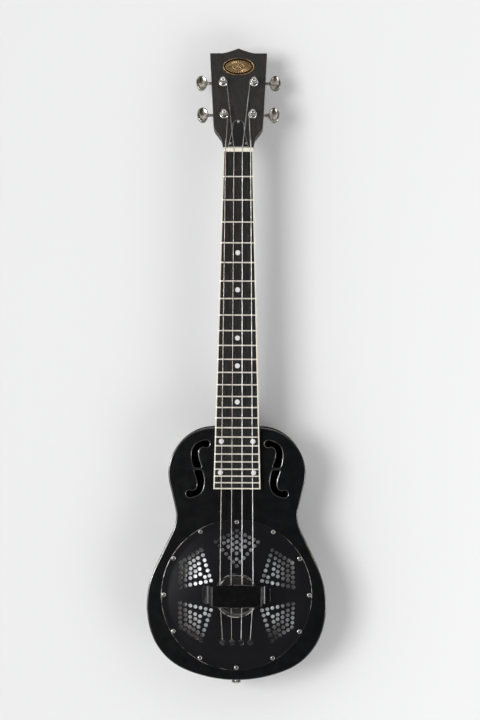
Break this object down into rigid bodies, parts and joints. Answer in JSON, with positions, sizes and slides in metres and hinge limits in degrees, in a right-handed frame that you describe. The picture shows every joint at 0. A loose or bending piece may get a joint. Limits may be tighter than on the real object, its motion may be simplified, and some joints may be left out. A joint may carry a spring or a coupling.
{
  "type": "resonator guitar",
  "caption": "Resonator guitar: pressed steel body, aluminium cone under a perforated coverplate, bound fretted neck and open-geared tuning machines.",
  "frame": {"origin": "on the back's flat face, directly under the centre of the resonator cone", "axes": "+Y towards the head, +X towards the treble side seen from the front, +Z out of the top; the instrument lies on its back"},
  "size_m": [0.2078, 0.7427, 0.09],
  "materials": {
    "body_paint": "satin black stoved paint over steel",
    "cover_paint": "matte blue-black paint over steel",
    "bare_steel": "plain steel",
    "cone_aluminium": "spun aluminium",
    "nickel": "bright nickel plate",
    "aged_nickel": "aged nickel plate",
    "brass": "brass, dulled",
    "badge_brass": "antique brass with a dark recess",
    "neck_wood": "matte black stain, open grain",
    "head_wood": "matte black stain, open grain",
    "board_wood": "oiled blackened rosewood",
    "inner_wood": "raw maple and mahogany",
    "saddle_wood": "oiled ebony and maple",
    "ivoroid": "cream ivoroid plastic",
    "pearl": "white pearloid plastic",
    "black_gloss": "gloss black",
    "handrest_paint": "gloss black paint over steel",
    "fret_wire": "polished nickel silver",
    "string_wound": "wound, silver over bronze",
    "string_plain": "plain drawn steel"
  },
  "bodies": {
    "root": {"body_top": "body_paint", "body_sides": "body_paint", "body_back": "body_paint", "soundwell": "bare_steel", "resonator_cone": "cone_aluminium", "biscuit": "inner_wood", "saddle": "saddle_wood", "biscuit_screw": "nickel", "coverplate": "cover_paint", "coverplate_screws": "nickel", "handrest": "handrest_paint", "neck": "neck_wood", "head_veneer": "head_wood", "fingerboard": "board_wood", "fingerboard_binding": "ivoroid", "frets": "fret_wire", "position_dots": "pearl", "nut": "ivoroid", "truss_rod": "bare_steel", "truss_rod_nut": "brass", "truss_rod_cover": "black_gloss", "truss_rod_cover_screws": "nickel", "head_badge": "badge_brass", "neck_stick": "inner_wood", "tail_block": "inner_wood", "stick_supports": "inner_wood", "strap_button": "nickel", "strap_button_screw": "nickel", "tuner_plates": "aged_nickel", "tuner_plate_screws": "aged_nickel", "tuner_bushings": "nickel", "string_ball_ends": "brass", "string_1": "string_wound", "string_2": "string_wound", "string_3": "string_plain", "string_4": "string_plain"},
    "key_1": {"tuner_worm_1": "brass", "tuner_button_1": "aged_nickel"},
    "post_1": {"tuner_post_1": "nickel", "tuner_gear_1": "brass", "gear_screw_1": "aged_nickel", "string_winding_1": "string_wound"},
    "key_2": {"tuner_worm_2": "brass", "tuner_button_2": "aged_nickel"},
    "post_2": {"tuner_post_2": "nickel", "tuner_gear_2": "brass", "gear_screw_2": "aged_nickel", "string_winding_2": "string_wound"},
    "key_3": {"tuner_worm_3": "brass", "tuner_button_3": "aged_nickel"},
    "post_3": {"tuner_post_3": "nickel", "tuner_gear_3": "brass", "gear_screw_3": "aged_nickel", "string_winding_3": "string_plain"},
    "key_4": {"tuner_worm_4": "brass", "tuner_button_4": "aged_nickel"},
    "post_4": {"tuner_post_4": "nickel", "tuner_gear_4": "brass", "gear_screw_4": "aged_nickel", "string_winding_4": "string_plain"}
  },
  "joints": [
    {"name": "key_1_turn", "type": "hinge", "parent": "root", "child": "key_1", "pos_m": [-0.0165, 0.5571, 0.03979], "axis": [1, 0, 0], "continuous": true},
    {"name": "post_1_turn", "type": "hinge", "parent": "root", "child": "post_1", "pos_m": [-0.0165, 0.55133, 0.04123], "axis": [0, 0.2419, 0.9703], "continuous": true},
    {"name": "key_2_turn", "type": "hinge", "parent": "root", "child": "key_2", "pos_m": [-0.0179, 0.59572, 0.03016], "axis": [1, 0, 0], "continuous": true},
    {"name": "post_2_turn", "type": "hinge", "parent": "root", "child": "post_2", "pos_m": [-0.0179, 0.58995, 0.0316], "axis": [0, 0.2419, 0.9703], "continuous": true},
    {"name": "key_3_turn", "type": "hinge", "parent": "root", "child": "key_3", "pos_m": [0.0179, 0.59572, 0.03016], "axis": [1, 0, 0], "continuous": true},
    {"name": "post_3_turn", "type": "hinge", "parent": "root", "child": "post_3", "pos_m": [0.0179, 0.58995, 0.0316], "axis": [0, 0.2419, 0.9703], "continuous": true},
    {"name": "key_4_turn", "type": "hinge", "parent": "root", "child": "key_4", "pos_m": [0.0165, 0.5571, 0.03979], "axis": [1, 0, 0], "continuous": true},
    {"name": "post_4_turn", "type": "hinge", "parent": "root", "child": "post_4", "pos_m": [0.0165, 0.55133, 0.04123], "axis": [0, 0.2419, 0.9703], "continuous": true}
  ],
  "couplings": [
    {"joint": "post_1_turn", "follows": "key_1_turn", "ratio": 0.071429},
    {"joint": "post_2_turn", "follows": "key_2_turn", "ratio": 0.071429},
    {"joint": "post_3_turn", "follows": "key_3_turn", "ratio": 0.071429},
    {"joint": "post_4_turn", "follows": "key_4_turn", "ratio": 0.071429}
  ]
}
